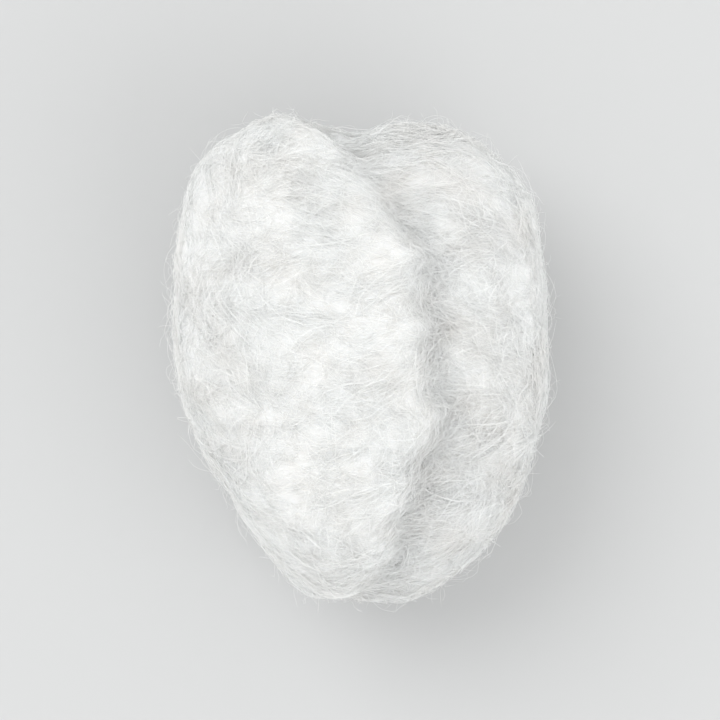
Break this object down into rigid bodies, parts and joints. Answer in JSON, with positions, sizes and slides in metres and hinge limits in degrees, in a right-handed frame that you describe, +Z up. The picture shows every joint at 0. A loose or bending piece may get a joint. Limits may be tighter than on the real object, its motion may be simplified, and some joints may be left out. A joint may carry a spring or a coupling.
{
  "type": "cotton ball",
  "caption": "Soft ball of bleached cotton wool: a short sliver rolled up on itself, with a creased lap and gathered ends.",
  "frame": {"origin": "centre of the ball's box at the level of the foot, the small flat that it rests on", "axes": "+Y along the roll towards its broad end, +Z up through the crown, +X to the side that the crease lies on"},
  "size_m": [0.0278, 0.0362, 0.0265],
  "materials": {
    "cotton": "matte"
  },
  "bodies": {
    "root": {"cotton_ball": "cotton"}
  },
  "joints": []
}
